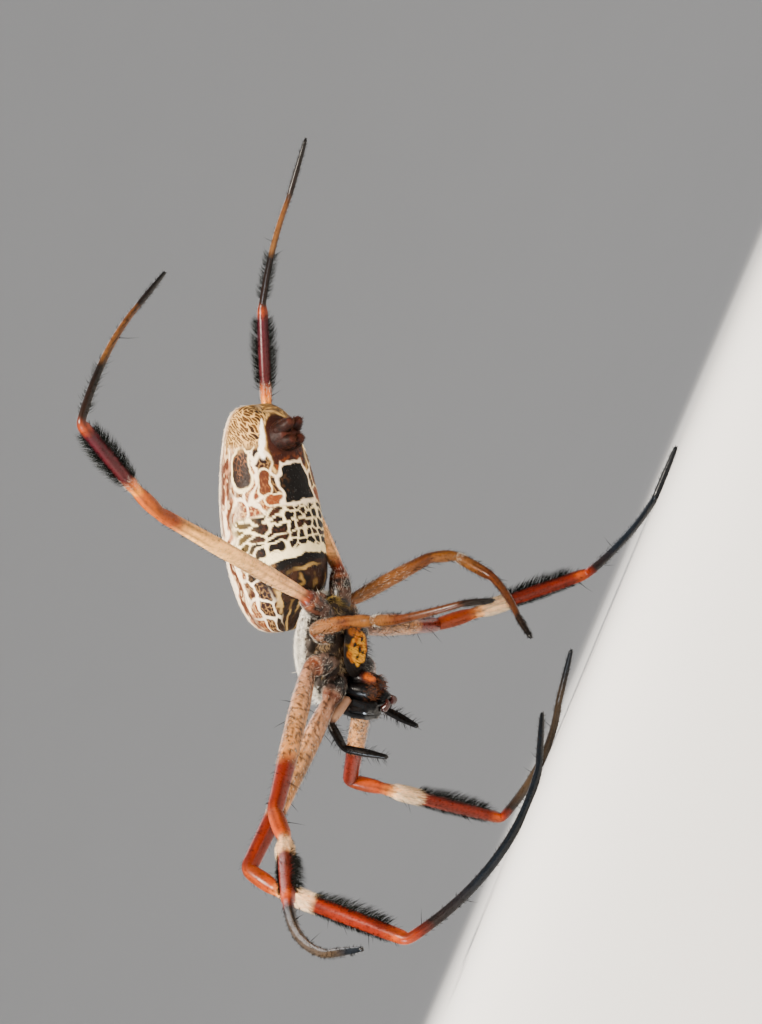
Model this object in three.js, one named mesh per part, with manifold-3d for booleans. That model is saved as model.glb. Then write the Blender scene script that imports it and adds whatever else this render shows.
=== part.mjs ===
// Golden silk orb weaver, an adult female, life size.
// Millimetres, +Z up. The head points along -X and down, the left side and the belly face -Y.
// It rests on the tip of the right second leg and on the bows of both front legs.
import * as THREE from 'three';
import { mergeVertices } from 'three/addons/utils/BufferGeometryUtils.js';
import Module from 'manifold-3d';

const wasm = await Module();
wasm.setup();

// Driving dimensions
const GAP = 0.3;             // how far each piece is cut back from its neighbours
const CARAPACE_LENGTH = 9.0;
const CARAPACE_WIDTH = 6.2;
const CARAPACE_HEIGHT = 1.75;
const ABDOMEN_LENGTH = 18.0;
const ABDOMEN_RADIUS = 4.05;
const EYE_RADIUS = 0.2;
const EYE_GAP = 0.1;
const LIMB_SIDES = 8;

// Length of each leg segment, by leg pair from the front
const SEGMENT_LENGTHS = {
  1: { femur: 16.2, patella: 2.8, tibia: 12.6, metatarsus: 15.8, tarsus: 4.8 },
  2: { femur: 14.7, patella: 3.1, tibia: 10.4, metatarsus: 13.2, tarsus: 4.4 },
  3: { femur: 7.8, patella: 2.0, tibia: 4.0, metatarsus: 5.1, tarsus: 2.5 },
  4: { femur: 16.4, patella: 2.6, tibia: 8.3, metatarsus: 10.9, tarsus: 4.8 },
};

// Half thickness of the thickest part of each segment, by leg pair
const SEGMENT_RADII = {
  1: { coxa: 0.95, femur: 0.82, patella: 0.66, tibia: 0.62, metatarsus: 0.42, tarsus: 0.29 },
  2: { coxa: 0.95, femur: 0.8, patella: 0.66, tibia: 0.6, metatarsus: 0.41, tarsus: 0.29 },
  3: { coxa: 0.85, femur: 0.62, patella: 0.52, tibia: 0.48, metatarsus: 0.36, tarsus: 0.28 },
  4: { coxa: 0.9, femur: 0.68, patella: 0.58, tibia: 0.55, metatarsus: 0.33, tarsus: 0.26 },
};

// Where the coxae end, in the head's own frame: forward, outward, up
const COXA_ENDS = {
  1: [2.7, 3.1, -1.8],
  2: [-0.3, 4.0, -0.9],
  3: [-3.1, 2.6, -1.0],
  4: [-5.8, 2.6, -0.5],
};
const COXA_STARTS = {
  1: [1.6, 1.3, -1.7],
  2: [-0.1, 1.5, -1.5],
  3: [-1.6, 1.2, -1.5],
  4: [-3.5, 1.1, -1.3],
};

// The pose: heading from +X towards +Y and rise above the floor of each segment, in degrees,
// and how far the metatarsus bows outwards, in millimetres
const LEGS = [
  { side: 'left', pair: 1, bow: 1.9, femur: [-143, -0.5], patella: [-102, -64], tibia: [-77, -55],
    metatarsus: [23.5, -13.6], tarsus: [40, 16] },
  { side: 'right', pair: 1, bow: 1.0, femur: [129, -4.5], patella: [21, -79], tibia: [82.5, -54],
    metatarsus: [-43, -2.2], tarsus: [-18, 9] },
  { side: 'left', pair: 2, bow: 0.8, femur: [-132, -11], patella: [-114, -31], tibia: [-104.5, -15],
    metatarsus: [-89.5, -19], tarsus: [-63.5, -26.5] },
  { side: 'right', pair: 2, bow: 0.6, femur: [81.5, -18.5], patella: [4, -50], tibia: [0, -47.5],
    metatarsus: [-54.5, -11.6], tarsus: [-4, 0.5] },
  { side: 'left', pair: 3, bow: 0.2, femur: [-74, -23], patella: [-62.5, -46.5], tibia: [-70.5, -33],
    metatarsus: [-40, -45.5], tarsus: [47, -51] },
  { side: 'right', pair: 3, bow: 0.2, femur: [29.5, -33.5], patella: [19, -61], tibia: [-100.5, -59.5],
    metatarsus: [-120.5, -38.5], tarsus: [-123, -39] },
  { side: 'left', pair: 4, bow: 0.7, femur: [-81.5, 40], patella: [-62, 43.5], tibia: [-65.5, 30.5],
    metatarsus: [33, 4.5], tarsus: [48.5, -1] },
  { side: 'right', pair: 4, bow: 0.6, femur: [49, 40], patella: [43.5, 33.5], tibia: [-8, 24.5],
    metatarsus: [-40, 1], tarsus: [-9, 5.5] },
];

// Colours and finishes
const COLOURS = {
  carapace: { color: 0xcfc9bd, roughness: 0.8 },
  coxa: { color: 0xa98f83, roughness: 0.6 },
  sternum: { color: 0xc8842a, roughness: 0.5 },
  mouth: { color: 0x3a1a10, roughness: 0.35 },
  chelicera: { color: 0x0b0b0c, roughness: 0.15 },
  palp: { color: 0x1b1412, roughness: 0.5 },
  eye: { color: 0x050505, roughness: 0.08 },
  femur: { color: 0xc9a08c, roughness: 0.45 },
  patella: { color: 0xb04a20, roughness: 0.35 },
  tibia: { color: 0x8c2216, roughness: 0.35 },
  metatarsus_tarsus: { color: 0x1a1416, roughness: 0.3 },
  abdomen: { color: 0xdcc7ac, roughness: 0.55 },
  spinneret: { color: 0x4a1414, roughness: 0.3 },
};

const spider = new THREE.Group();
const radians = THREE.MathUtils.degToRad;
const smooth = THREE.MathUtils.smoothstep;
const vector = (x, y, z) => new THREE.Vector3(x, y, z);

function direction([heading, rise]) {
  const flat = Math.cos(radians(rise));
  return vector(flat * Math.cos(radians(heading)), flat * Math.sin(radians(heading)), Math.sin(radians(rise)));
}

// A body's frame: its own x forward, y to its left, z up its back
function bodyFrame(heading, rise, roll, centre) {
  const forward = direction([heading, rise]);
  const left = vector(0, 0, 1).cross(forward).normalize();
  const up = forward.clone().cross(left);
  const tiltedLeft = left.clone().multiplyScalar(Math.cos(radians(roll)));
  tiltedLeft.addScaledVector(up, Math.sin(radians(roll)));
  const tiltedUp = forward.clone().cross(tiltedLeft);
  return new THREE.Matrix4().makeBasis(forward, tiltedLeft, tiltedUp).setPosition(centre);
}

const headFrame = bodyFrame(154, -26, 15, vector(-11.6, -0.8, 19.2));
const abdomenFrame = bodyFrame(173.5, -29.5, 40, vector(-3.8, -1.1, 27.2));
const inHead = (x, y, z) => vector(x, y, z).applyMatrix4(headFrame);
const inAbdomen = (x, y, z) => vector(x, y, z).applyMatrix4(abdomenFrame);

// Closed solids from three.js geometry
function toSolid(geometry) {
  const bare = geometry.clone();
  bare.deleteAttribute('normal');
  bare.deleteAttribute('uv');
  const merged = mergeVertices(bare, 1e-5);
  const corners = merged.index.array;
  const positions = merged.attributes.position.array;
  const kept = [];
  let sixVolume = 0;
  for (let i = 0; i < corners.length; i += 3) {
    const [a, b, c] = corners.slice(i, i + 3);
    if (a === b || b === c || c === a) continue;
    kept.push(a, b, c);
    const [pa, pb, pc] = [a, b, c].map((k) => vector(...positions.slice(3 * k, 3 * k + 3)));
    sixVolume += pa.dot(pb.cross(pc));
  }
  const triangles = sixVolume > 0 ? kept : kept.reverse();
  return new wasm.Manifold(new wasm.Mesh({
    numProp: 3,
    vertProperties: new Float32Array(positions),
    triVerts: new Uint32Array(triangles),
  }));
}

function largestBody(solid) {
  const bodies = solid.decompose();
  return bodies.reduce((best, body) => (body.volume() > best.volume() ? body : best));
}

function addNode(name, solid, look) {
  const mesh = largestBody(solid).getMesh();
  const geometry = new THREE.BufferGeometry();
  geometry.setAttribute('position', new THREE.BufferAttribute(new Float32Array(mesh.vertProperties), 3));
  geometry.setIndex(new THREE.BufferAttribute(new Uint32Array(mesh.triVerts), 1));
  geometry.computeVertexNormals();
  const node = new THREE.Mesh(geometry, new THREE.MeshStandardMaterial({ metalness: 0, ...look }));
  node.name = name;
  spider.add(node);
}

// Pieces go in one by one, each cut clear of those that went in before it
const placed = new Map();
function clearOf(solid, own) {
  const others = [...placed.keys()].filter((name) => name !== own);
  return others.reduce((rest, name) => rest.subtract(placed.get(name)), solid);
}

function cutShape(name, shape) {
  const solid = clearOf(shape(0), name);
  placed.set(name, shape(GAP));
  return solid;
}

function place(name, shape, look) {
  addNode(name, cutShape(name, shape), look);
}

function randomFrom(seed) {
  let state = seed;
  return () => {
    state = (state * 16807) % 2147483647;
    return state / 2147483647;
  };
}

// A round tapering limb with rounded ends, bowed to one side.
// The profile lists [fraction of the length, radius], and grow swells it all over.
function limb({ from, to, profile, bow = vector(0, 0, 0), sides = LIMB_SIDES, grow = 0 }) {
  const along = to.clone().sub(from);
  const length = along.length();
  const first = profile[0][1];
  const last = profile[profile.length - 1][1];
  const outline = [
    new THREE.Vector2(0, -0.55 * first - grow),
    new THREE.Vector2(0.7 * first + 0.7 * grow, -0.35 * first - 0.7 * grow),
    ...profile.map(([fraction, radius]) => new THREE.Vector2(radius + grow, fraction * length)),
    new THREE.Vector2(0.7 * last + 0.7 * grow, length + 0.35 * last + 0.7 * grow),
    new THREE.Vector2(0, length + 0.55 * last + grow),
  ];
  const geometry = new THREE.LatheGeometry(outline, sides);
  const reference = Math.abs(along.z) < 0.8 * length ? vector(0, 0, 1) : vector(1, 0, 0);
  const position = geometry.attributes.position;
  for (let i = 0; i < position.count; i++) {
    const t = position.getY(i) / length;
    const centre = from.clone().addScaledVector(along, t).addScaledVector(bow, 4 * t * (1 - t));
    const tangent = along.clone().addScaledVector(bow, 4 * (1 - 2 * t)).normalize();
    const side = reference.clone().cross(tangent).normalize();
    const other = tangent.clone().cross(side);
    centre.addScaledVector(side, position.getX(i)).addScaledVector(other, position.getZ(i));
    position.setXYZ(i, centre.x, centre.y, centre.z);
  }
  return toSolid(geometry);
}

// A rounded body: each point of a unit ball, its pole along the body's x, goes where shape says
function rounded(frame, shape, sides, rings) {
  const geometry = new THREE.SphereGeometry(1, sides, rings);
  const position = geometry.attributes.position;
  for (let i = 0; i < position.count; i++) {
    const axis = THREE.MathUtils.clamp(position.getY(i), -1, 1);
    const angle = Math.atan2(position.getZ(i), position.getX(i));
    const point = shape(axis, Math.cos(angle), Math.sin(angle)).applyMatrix4(frame);
    position.setXYZ(i, point.x, point.y, point.z);
  }
  return toSolid(geometry);
}

const ring = (axis, power) => Math.pow(Math.max(0, 1 - axis * axis), power);

// A flat pointed lock of bristles: it stands out at its root and bends over along the limb
function lock({ root, outward, along, length, width, thickness }) {
  const across = along.clone().cross(outward).normalize();
  const geometry = new THREE.ConeGeometry(1, 1, 4, 3);
  const position = geometry.attributes.position;
  for (let i = 0; i < position.count; i++) {
    const t = position.getY(i) + 0.5;
    const centre = root.clone();
    centre.addScaledVector(outward, length * (0.85 * t - 0.25 * t * t));
    centre.addScaledVector(along, length * (0.35 * t + 0.5 * t * t));
    const tangent = vector(0, 0, 0);
    tangent.addScaledVector(outward, 0.85 - 0.5 * t).addScaledVector(along, 0.35 + t).normalize();
    const wide = tangent.clone().cross(across);
    const fullness = 1 + t;
    centre.addScaledVector(wide, (position.getX(i) * fullness * width) / 2);
    centre.addScaledVector(across, (position.getZ(i) * fullness * thickness) / 2);
    position.setXYZ(i, centre.x, centre.y, centre.z);
  }
  return toSolid(geometry);
}

// Head and its plates
function carapace(grow = 0) {
  return rounded(headFrame, (axis, across, height) => {
    const x = axis * (CARAPACE_LENGTH / 2 + grow);
    const narrowed = 1 - 0.34 * smooth(x, 0.6, 4.2) - 0.1 * smooth(-x, 1.5, 4.5);
    const halfWidth = (CARAPACE_WIDTH / 2) * narrowed * ring(axis, 0.36) + grow * ring(axis, 0.3);
    const headRise = 1 + 0.16 * smooth(x, 0.8, 3.2) - 0.18 * smooth(-x, 0.5, 4);
    const above = CARAPACE_HEIGHT * headRise * ring(axis, 0.4);
    const below = 0.75 * ring(axis, 0.3);
    const z = height > 0 ? height * above : height * below;
    return vector(x, across * halfWidth, z + height * grow * ring(axis, 0.3));
  }, 20, 14);
}

function sternum(grow = 0) {
  return rounded(headFrame, (axis, across, height) => {
    const x = -0.6 + axis * (2.5 + grow);
    const halfWidth = (1.75 - 0.45 * smooth(-x, -0.5, 3)) * ring(axis, 0.42) + grow * ring(axis, 0.3);
    return vector(x, across * halfWidth, -2.75 + height * (0.42 + grow) * ring(axis, 0.3));
  }, 14, 8);
}

function mouthparts(grow = 0) {
  const lip = limb({
    from: inHead(2.0, 0, -2.5), to: inHead(2.3, 0, -4.0), profile: [[0, 0.75], [0.5, 0.7], [1, 0.4]], grow,
  });
  const plates = [-1, 1].map((side) => limb({
    from: inHead(2.5, side * 1.05, -2.4),
    to: inHead(2.9, side * 0.6, -4.4),
    profile: [[0, 0.55], [0.4, 0.68], [0.8, 0.66], [1, 0.4]],
    grow,
  }));
  return wasm.Manifold.union([lip, ...plates]);
}

function chelicera(side, grow = 0) {
  return limb({
    from: inHead(3.8, side * 1.02, -1.3),
    to: inHead(4.3, side * 0.97, -4.6),
    profile: [[0, 0.7], [0.15, 0.9], [0.45, 1], [0.8, 0.86], [1, 0.58]],
    sides: 10,
    grow,
  });
}

function fang(side, grow = 0) {
  return limb({
    from: inHead(4.1, side * 0.72, -5.05),
    to: inHead(3.45, side * 0.35, -5.2),
    bow: inHead(0, 0, -0.25).sub(inHead(0, 0, 0)),
    profile: [[0, 0.3], [0.6, 0.22], [1, 0.1]],
    grow,
  });
}

// The joints of the palps: base, knee, wrist and tip, in the head's frame
const PALPS = {
  left: [[3.1, 1.65, -2.5], [4.6, 3.2, -1.6], [6.2, 4.0, -3.1], [6.8, 3.3, -6.5]],
  right: [[3.1, -1.65, -2.5], [4.7, -2.4, -1.4], [6.3, -3.1, -2.8], [7.0, -2.4, -6.0]],
};

function palp(side, grow = 0) {
  const [base, knee, wrist, tip] = PALPS[side].map((joint) => inHead(...joint));
  return wasm.Manifold.union([
    limb({ from: base, to: knee, profile: [[0, 0.4], [0.5, 0.42], [1, 0.34]], sides: 7, grow }),
    limb({ from: knee, to: wrist, profile: [[0, 0.36], [0.5, 0.38], [1, 0.32]], sides: 7, grow }),
    limb({ from: wrist, to: tip, profile: [[0, 0.34], [0.5, 0.35], [1, 0.2]], sides: 7, grow }),
  ]);
}

// Two rows of four eyes on the front of the head
const EYES = {
  front_median: [4.25, 0.32, 0.75],
  rear_median: [3.95, 0.38, 1.4],
  front_lateral: [4.05, 1.3, 0.55],
  rear_lateral: [3.7, 1.42, 0.95],
};

function eye([x, y, z], side) {
  const geometry = new THREE.SphereGeometry(EYE_RADIUS, 10, 7);
  const centre = inHead(x, side * y, z);
  return toSolid(geometry.translate(centre.x, centre.y, centre.z));
}

// Abdomen, pedicel and spinnerets
function abdomen(grow = 0) {
  return rounded(abdomenFrame, (axis, across, height) => {
    const x = Math.sign(axis) * Math.pow(Math.abs(axis), 0.85) * (ABDOMEN_LENGTH / 2 + grow);
    const taper = 1 - 0.17 * smooth(-x, -1, 9);
    const blunt = x < 0 ? 0.22 : 0.3;
    const girth = ABDOMEN_RADIUS * taper * ring(axis, blunt);
    const frontCut = 1 - 0.55 * smooth(x, 5.6, 8.6);
    const bookLungs = 0.75 * Math.exp(-Math.pow((x - 4.6) / 1.9, 2));
    const below = (girth + bookLungs * height * height) * frontCut;
    const z = height > 0 ? height * girth * 0.98 : height * below;
    const swell = grow * ring(axis, 0.3);
    const rearSlope = 0.6 * Math.max(0, -height) * smooth(-x, 6, 9);
    return vector(x + rearSlope, across * (girth + swell), z + swell * height);
  }, 22, 24);
}

function spinnerets(grow = 0) {
  const collar = limb({
    from: inAbdomen(-6.1, 0, -2.0),
    to: inAbdomen(-6.3, 0, -3.5),
    profile: [[0, 1.5], [0.6, 1.3], [1, 1.05]],
    sides: 10,
    grow,
  });
  const cone = (x, y, lean) => limb({
    from: inAbdomen(x, y, -3.0),
    to: inAbdomen(x - lean, y * 0.8, -4.4),
    profile: [[0, 0.66], [0.6, 0.55], [1, 0.3]],
    sides: 9,
    grow,
  });
  const front = [cone(-5.8, 0.5, 0.2), cone(-5.8, -0.5, 0.2)];
  const rear = [cone(-6.7, 0.5, 0.7), cone(-6.7, -0.5, 0.7)];
  return wasm.Manifold.union([collar, ...front, ...rear]);
}

function pedicel(grow = 0) {
  return limb({
    from: inAbdomen(5.8, 0, -2.4), to: inHead(-4.2, 0, -0.2), profile: [[0, 0.75], [0.5, 0.6], [1, 0.65]], grow,
  });
}

// Legs
const FEMUR_PROFILE = [[0, 0.7], [0.08, 0.84], [0.25, 1], [0.6, 0.96], [0.85, 0.84], [1, 0.8]];
const PATELLA_PROFILE = [[0, 0.88], [0.5, 1], [1, 0.9]];
const TIBIA_PROFILE = [[0, 0.86], [0.15, 0.94], [0.5, 1], [0.85, 0.92], [1, 0.84]];
const METATARSUS_PROFILE = [[0, 1.05], [0.12, 0.98], [0.3, 0.92], [0.5, 0.86], [0.7, 0.8], [0.86, 0.76], [1, 0.74]];
const TARSUS_PROFILE = [[0, 1.02], [0.5, 0.9], [0.85, 0.7], [1, 0.45]];
const scaled = (profile, radius) => profile.map(([fraction, part]) => [fraction, part * radius]);

function coxa(side, pair, grow = 0) {
  const [sx, sy, sz] = COXA_STARTS[pair];
  const [ex, ey, ez] = COXA_ENDS[pair];
  const radius = SEGMENT_RADII[pair].coxa;
  return limb({
    from: inHead(sx, side * sy, sz),
    to: inHead(ex, side * ey, ez),
    profile: scaled([[0, 0.8], [0.35, 1], [0.7, 0.94], [0.8, 0.82], [0.92, 0.88], [1, 0.78]], radius),
    grow,
  });
}

// Outward bow of a segment: it goes on in the line of the segment before it
function bowVector(before, own, amount) {
  const outward = before.clone().addScaledVector(own, -before.dot(own));
  return outward.normalize().multiplyScalar(amount);
}

// The segments of one leg as functions of how far they are swollen
function legShapes(leg) {
  const side = leg.side === 'left' ? 1 : -1;
  const lengths = SEGMENT_LENGTHS[leg.pair];
  const radii = SEGMENT_RADII[leg.pair];
  const coxaEnd = COXA_ENDS[leg.pair];
  const joints = { coxa: inHead(coxaEnd[0], side * coxaEnd[1], coxaEnd[2]) };
  const order = ['coxa', 'femur', 'patella', 'tibia', 'metatarsus', 'tarsus'];
  for (let i = 1; i < order.length; i++) {
    const step = direction(leg[order[i]]).multiplyScalar(lengths[order[i]]);
    joints[order[i]] = joints[order[i - 1]].clone().add(step);
  }
  const segment = (name, profile, bow) => (grow) => limb({
    from: joints[order[order.indexOf(name) - 1]],
    to: joints[name],
    profile: scaled(profile, radii[name]),
    bow,
    grow,
  });
  const bow = bowVector(direction(leg.tibia), direction(leg.metatarsus), leg.bow);
  const metatarsus = segment('metatarsus', METATARSUS_PROFILE, bow);
  const tarsus = segment('tarsus', TARSUS_PROFILE);
  return {
    shin: { from: joints.patella, to: joints.tibia },
    coxa: (grow) => coxa(side, leg.pair, grow),
    femur: segment('femur', FEMUR_PROFILE),
    patella: segment('patella', PATELLA_PROFILE),
    tibia: segment('tibia', TIBIA_PROFILE),
    metatarsus_tarsus: (grow) => metatarsus(grow).add(tarsus(grow)).trimByPlane([0, 0, 1], 0),
  };
}

// The brush of a shin: two fringes of locks, standing out to both sides as seen from the front
const BRUSHES = {
  1: { locks: 12, start: 0.28, end: 0.86, length: 1.55 },
  2: { locks: 11, start: 0.28, end: 0.86, length: 1.5 },
  4: { locks: 10, start: 0.16, end: 0.86, length: 1.45 },
};
const LOCK_WIDTH = 0.85;
const LOCK_THICKNESS = 0.28;
const LOCK_ROOT_DEPTH = 0.35;
const LOCK_FAN = 0.5;         // how far locks turn out of the fringe, in radians

function brush(leg) {
  const { start, end, locks, length } = BRUSHES[leg.pair];
  const random = randomFrom(100 * leg.pair + (leg.side === 'left' ? 7 : 13));
  const { from, to } = legShapes(leg).shin;
  const along = to.clone().sub(from).normalize();
  const sideways = along.clone().cross(vector(0, 1, 0)).normalize();
  const radius = SEGMENT_RADII[leg.pair].tibia;
  const pieces = [];
  for (const side of [-1, 1]) {
    for (let i = 0; i < locks; i++) {
      const u = (i + 0.3 * random()) / (locks - 0.7);
      const turn = LOCK_FAN * ((i % 2 ? 1 : -1) * 0.7 + 0.6 * (random() - 0.5));
      const outward = sideways.clone().multiplyScalar(side).applyAxisAngle(along, turn);
      const root = from.clone().lerp(to, start + (end - start) * u);
      root.addScaledVector(outward, radius - LOCK_ROOT_DEPTH);
      pieces.push(lock({
        root,
        outward,
        along,
        length: length * (0.62 + 0.38 * Math.sin(Math.PI * u)) * (0.9 + 0.2 * random()),
        width: LOCK_WIDTH,
        thickness: LOCK_THICKNESS,
      }));
    }
  }
  return wasm.Manifold.union(pieces);
}

// Assembly
place('carapace', carapace, COLOURS.carapace);
place('sternum', sternum, COLOURS.sternum);
place('mouthparts', mouthparts, COLOURS.mouth);
for (const [name, side] of [['left', 1], ['right', -1]]) {
  place(`chelicera_${name}`, (grow) => chelicera(side, grow), COLOURS.chelicera);
  place(`fang_${name}`, (grow) => fang(side, grow), COLOURS.chelicera);
  place(`palp_${name}`, (grow) => palp(name, grow), COLOURS.palp);
  for (const [where, at] of Object.entries(EYES)) {
    addNode(`eye_${where}_${name}`, eye(at, side).subtract(carapace(EYE_GAP)), COLOURS.eye);
  }
}
const shins = new Map();
for (const part of ['coxa', 'femur', 'patella', 'tibia', 'metatarsus_tarsus']) {
  for (const leg of LEGS) {
    const name = `leg_${leg.side}_${leg.pair}_${part}`;
    const shape = legShapes(leg)[part];
    if (part === 'tibia' && BRUSHES[leg.pair]) {
      shins.set(leg, cutShape(name, shape));
    } else {
      place(name, shape, COLOURS[part]);
    }
  }
}
place('abdomen', abdomen, COLOURS.abdomen);
place('pedicel', pedicel, COLOURS.coxa);
place('spinnerets', spinnerets, COLOURS.spinneret);
for (const [leg, shin] of shins) {
  const name = `leg_${leg.side}_${leg.pair}_tibia`;
  addNode(name, shin.add(clearOf(brush(leg), name)), COLOURS.tibia);
}

// Origin on the floor, under the middle of the whole
const extent = new THREE.Box3().setFromObject(spider);
spider.position.set(-(extent.min.x + extent.max.x) / 2, -(extent.min.y + extent.max.y) / 2, -extent.min.z);

export default spider;
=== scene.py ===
# Golden silk orb weaver, an adult female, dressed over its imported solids.
# Lengths are in millimetres until a mesh is made. The frame is the part's own:
# +Z up, the head towards -X and down, the left side and the belly facing -Y.
from math import cos, pi, radians, sin, tau

import bpy
import numpy as np
from mathutils import Matrix
from numpy.linalg import norm


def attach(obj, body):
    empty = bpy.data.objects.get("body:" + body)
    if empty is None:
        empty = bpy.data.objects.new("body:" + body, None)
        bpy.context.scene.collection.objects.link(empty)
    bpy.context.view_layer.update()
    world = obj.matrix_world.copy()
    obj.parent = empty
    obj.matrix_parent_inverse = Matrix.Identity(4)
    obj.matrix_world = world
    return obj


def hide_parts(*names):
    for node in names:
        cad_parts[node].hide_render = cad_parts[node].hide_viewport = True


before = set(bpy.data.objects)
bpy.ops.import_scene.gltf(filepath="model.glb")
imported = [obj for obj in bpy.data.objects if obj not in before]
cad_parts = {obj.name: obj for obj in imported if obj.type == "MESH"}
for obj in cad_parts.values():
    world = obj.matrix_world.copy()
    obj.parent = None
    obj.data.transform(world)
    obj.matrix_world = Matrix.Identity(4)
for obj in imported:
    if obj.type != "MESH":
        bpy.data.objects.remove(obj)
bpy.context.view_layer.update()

MM = 0.001

# Driving dimensions, the same as the part's
CENTRING = np.array([1.8516, 10.4924, 0.0])  # from the pose's own origin to the part's
CARAPACE_LENGTH = 9.0
CARAPACE_WIDTH = 6.2
CARAPACE_HEIGHT = 1.75
ABDOMEN_LENGTH = 18.0
ABDOMEN_RADIUS = 4.05
ARC_RADIUS = 3.8  # turns an angle round the abdomen into a distance over its skin
EYE_RADIUS = 0.2
COAT_DEPTH = 0.05  # how far the skin lies inside the solids
LIMB_DEPTH = 0.02  # the same on limbs
ROOT_DEPTH = 0.03  # how far hairs start under the skin

# Lengths from the femur to the tarsus, and radii from the coxa to the tarsus, by leg pair
SEGMENT_LENGTHS = {
    1: (16.2, 2.8, 12.6, 15.8, 4.8),
    2: (14.7, 3.1, 10.4, 13.2, 4.4),
    3: (7.8, 2.0, 4.0, 5.1, 2.5),
    4: (16.4, 2.6, 8.3, 10.9, 4.8),
}
SEGMENT_RADII = {
    1: (0.95, 0.82, 0.66, 0.62, 0.42, 0.29),
    2: (0.95, 0.8, 0.66, 0.6, 0.41, 0.29),
    3: (0.85, 0.62, 0.52, 0.48, 0.36, 0.28),
    4: (0.9, 0.68, 0.58, 0.55, 0.33, 0.26),
}

# Where the coxae start and end, in the head's own frame
COXA_STARTS = {1: (1.6, 1.3, -1.7), 2: (-0.1, 1.5, -1.5), 3: (-1.6, 1.2, -1.5), 4: (-3.5, 1.1, -1.3)}
COXA_ENDS = {1: (2.7, 3.1, -1.8), 2: (-0.3, 4.0, -0.9), 3: (-3.1, 2.6, -1.0), 4: (-5.8, 2.6, -0.5)}

# Radius along each segment as (fraction of its length, share of its radius), with rather blunt feet
PROFILES = (
    ((0, 0.8), (0.35, 1), (0.7, 0.94), (0.8, 0.82), (0.92, 0.88), (1, 0.78)),
    ((0, 0.7), (0.08, 0.84), (0.25, 1), (0.6, 0.96), (0.85, 0.84), (1, 0.8)),
    ((0, 0.88), (0.5, 1), (1, 0.9)),
    ((0, 0.86), (0.15, 0.94), (0.5, 1), (0.85, 0.92), (1, 0.84)),
    ((0, 1.05), (0.12, 0.98), (0.3, 0.92), (0.5, 0.86), (0.7, 0.8), (0.86, 0.76), (1, 0.74)),
    ((0, 1.02), (0.5, 0.93), (0.85, 0.78), (1, 0.6)),
)

SIDES = {"left": 1, "right": -1}

# The pose: bow of the metatarsus, then heading and rise of femur, patella, tibia, metatarsus, tarsus
LEGS = {
    ("left", 1): (1.9, (-143, -0.5), (-102, -64), (-77, -55), (23.5, -13.6), (40, 16)),
    ("right", 1): (1.0, (129, -4.5), (21, -79), (82.5, -54), (-43, -2.2), (-18, 9)),
    ("left", 2): (0.8, (-132, -11), (-114, -31), (-104.5, -15), (-89.5, -19), (-63.5, -26.5)),
    ("right", 2): (0.6, (81.5, -18.5), (4, -50), (0, -47.5), (-54.5, -11.6), (-4, 0.5)),
    ("left", 3): (0.2, (-74, -23), (-62.5, -46.5), (-70.5, -33), (-40, -45.5), (47, -51)),
    ("right", 3): (0.2, (29.5, -33.5), (19, -61), (-100.5, -59.5), (-120.5, -38.5), (-123, -39)),
    ("left", 4): (0.7, (-81.5, 40), (-62, 43.5), (-65.5, 30.5), (33, 4.5), (48.5, -1)),
    ("right", 4): (0.6, (49, 40), (43.5, 33.5), (-8, 24.5), (-40, 1), (-9, 5.5)),
}


# Vectors, noise and colour
def unit(v):
    return v / np.maximum(norm(v, axis=-1, keepdims=True), 1e-12)


def smooth(x, low, high):
    t = np.clip((x - low) / (high - low), 0, 1)
    return t * t * (3 - 2 * t)


def below(x, low, high):
    """1 up to low, falling softly to 0 at high."""
    return smooth(-x, -high, -low)


def near(x, centre, width):
    return np.exp(-(((x - centre) / width) ** 2))


def direction(heading, rise):
    h, r = radians(heading), radians(rise)
    return np.array([cos(r) * cos(h), cos(r) * sin(h), sin(r)])


def body_frame(heading, rise, roll, centre):
    """Axes (forward, left, up as columns) and centre of a body."""
    forward = direction(heading, rise)
    left = unit(np.cross((0, 0, 1), forward))
    up = np.cross(forward, left)
    tilted = left * cos(radians(roll)) + up * sin(radians(roll))
    return np.column_stack([forward, tilted, np.cross(forward, tilted)]), np.array(centre) + CENTRING


HEAD = body_frame(154, -26, 15, (-11.6, -0.8, 19.2))
ABDOMEN = body_frame(173.5, -29.5, 40, (-3.8, -1.1, 27.2))


def place(body, points):
    axes, centre = body
    return np.asarray(points) @ axes.T + centre


def in_own_frame(body, points):
    """Forward, left and up of points in a body's own frame."""
    axes, centre = body
    return ((points - centre) @ axes).T


def in_head(*point):
    return place(HEAD, point)


def in_abdomen(*point):
    return place(ABDOMEN, point)


def lattice(cells, salt):
    """A repeatable random number from 0 to 1 for each whole-number cell."""
    weights = np.array([127.1, 311.7, 74.7][: cells.shape[-1]])
    return np.modf(np.abs(np.sin(cells @ weights + salt * 17.3)) * 43758.5453)[0]


def noise(points, scale, salt=0):
    """Smooth noise from 0 to 1 with features of about scale millimetres."""
    q = points / scale
    cell = np.floor(q)
    f = q - cell
    f = f * f * (3 - 2 * f)
    total = 0
    for corner in np.ndindex(*(2,) * q.shape[-1]):
        weight = np.prod(np.where(np.array(corner) == 1, f, 1 - f), axis=-1)
        total = total + weight * lattice(cell + corner, salt)
    return total


def flat_noise(x, y, scale, salt):
    return noise(np.stack([x, y], -1), scale, salt)


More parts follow.
